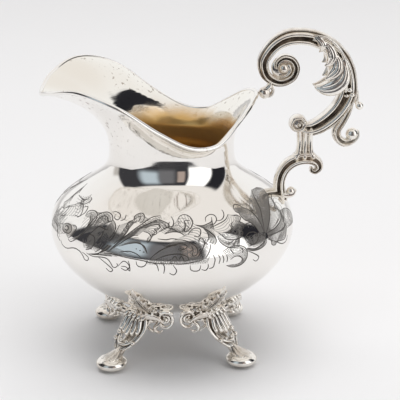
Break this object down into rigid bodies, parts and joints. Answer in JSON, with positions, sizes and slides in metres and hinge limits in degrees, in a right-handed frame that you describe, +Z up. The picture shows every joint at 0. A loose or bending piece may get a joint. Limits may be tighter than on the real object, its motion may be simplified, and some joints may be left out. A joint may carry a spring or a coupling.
{
  "type": "cream jug",
  "caption": "Footed cream jug with a round bowl, a wide flared spout, an open scroll handle and cast scroll feet, for pouring cream or milk.",
  "frame": {"origin": "on the surface that the jug stands on, under the axis of the bowl", "axes": "+Z up along the bowl's axis, +X towards the handle, -X towards the spout; the jug is symmetrical about the XZ plane"},
  "size_m": [0.1393, 0.1054, 0.1416],
  "materials": {
    "body_silver": "polished sheet silver, engraved round the bowl, gilt inside",
    "wire_silver": "polished drawn wire",
    "cast_silver": "cast and chased silver, dark in its recesses",
    "pad_silver": "polished"
  },
  "bodies": {
    "root": {"body": "body_silver", "rim_wire": "wire_silver", "handle_main_scroll": "cast_silver", "handle_volute_eye": "cast_silver", "handle_leaf": "cast_silver", "handle_rim_bead": "cast_silver", "handle_small_spur": "cast_silver", "handle_back_spur": "cast_silver", "handle_bud": "cast_silver", "handle_strut": "cast_silver", "handle_lower_scroll": "cast_silver", "handle_lower_terminal": "cast_silver", "front_left_leaf": "cast_silver", "front_left_bracket": "cast_silver", "front_left_leg": "cast_silver", "front_left_pad": "pad_silver", "front_right_leaf": "cast_silver", "front_right_bracket": "cast_silver", "front_right_leg": "cast_silver", "front_right_pad": "pad_silver", "back_left_leaf": "cast_silver", "back_left_bracket": "cast_silver", "back_left_leg": "cast_silver", "back_left_pad": "pad_silver", "back_right_leaf": "cast_silver", "back_right_bracket": "cast_silver", "back_right_leg": "cast_silver", "back_right_pad": "pad_silver"}
  },
  "joints": []
}
